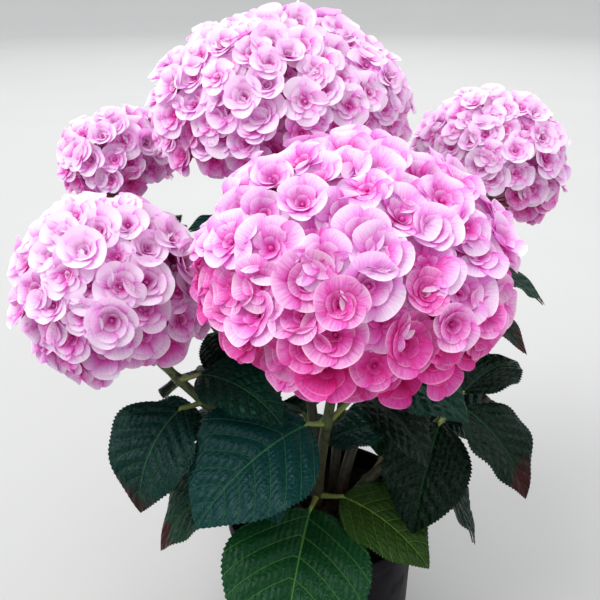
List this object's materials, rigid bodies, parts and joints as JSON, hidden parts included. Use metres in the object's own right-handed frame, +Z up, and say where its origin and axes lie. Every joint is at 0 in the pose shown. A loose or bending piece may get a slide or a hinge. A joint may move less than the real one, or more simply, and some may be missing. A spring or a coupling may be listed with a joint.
{
  "type": "potted hydrangea shrub",
  "caption": "Mophead hydrangea shrub in a round pot, with domed heads of double pink florets over broad dark serrated leaves.",
  "frame": {"origin": "middle of the pot's flat underside", "axes": "+Z up, +Y away from the side that the largest front head faces, +X to that viewer's right"},
  "size_m": [0.4331, 0.3911, 0.485],
  "materials": {
    "pot_plastic": "very dark purple moulded plastic, slight sheen",
    "peat": "dark moist peat with fibres and small bits of bark",
    "cane": "smooth green-brown cane with dark purple flecks",
    "leaf": "leathery dark blue-green leaf with a soft gloss and paler veins",
    "petal": "matt silky petal, deeper pink at the throat and nearly white at the rim"
  },
  "bodies": {
    "root": {"pot": "pot_plastic", "growing_medium": "peat", "cane_front": "cane", "foliage_front": "leaf", "flower_head_front": "petal", "cane_left": "cane", "foliage_left": "leaf", "flower_head_left": "petal", "cane_back": "cane", "foliage_back": "leaf", "flower_head_back": "petal", "cane_left_back": "cane", "foliage_left_back": "leaf", "flower_head_left_back": "petal", "cane_right_back": "cane", "foliage_right_back": "leaf", "flower_head_right_back": "petal", "cane_right": "cane", "foliage_right": "leaf", "cane_rear": "cane", "foliage_rear": "leaf"}
  },
  "joints": []
}
